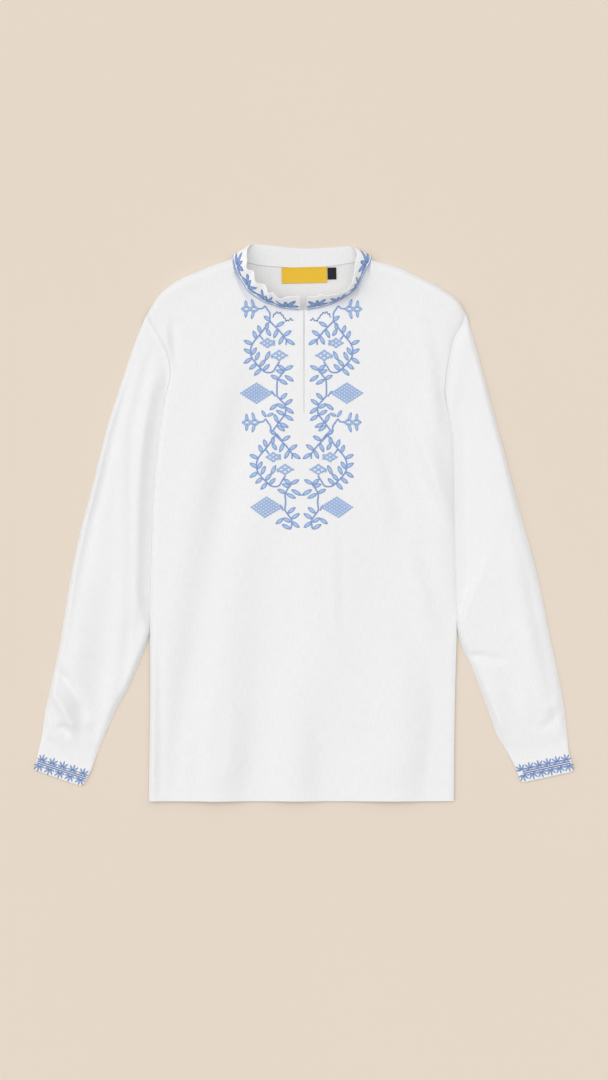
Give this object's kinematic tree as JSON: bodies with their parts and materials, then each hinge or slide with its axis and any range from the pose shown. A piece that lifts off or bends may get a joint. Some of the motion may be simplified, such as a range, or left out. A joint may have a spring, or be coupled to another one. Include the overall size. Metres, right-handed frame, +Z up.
{
  "type": "embroidered shirt",
  "caption": "Long-sleeved linen folk shirt laid out flat, with a low standing collar, a neck slit and narrow cuffs.",
  "frame": {"origin": "middle of the outline, on the surface that the shirt lies on", "axes": "+Z up out of the front of the shirt, +Y from the hem to the collar, +X to the viewer's right"},
  "size_m": [0.7382, 0.7608, 0.0293],
  "materials": {
    "linen": "matt, plain woven",
    "embroidery_thread": "satin stitch, soft sheen",
    "label_cloth": "woven satin",
    "tab_cloth": "woven satin"
  },
  "bodies": {
    "root": {"front_panel": "linen", "back_panel": "linen", "sleeve_left": "linen", "sleeve_right": "linen", "cuff_left": "linen", "cuff_right": "linen", "collar_band": "linen", "neck_label": "label_cloth", "size_tab": "tab_cloth"}
  },
  "joints": []
}
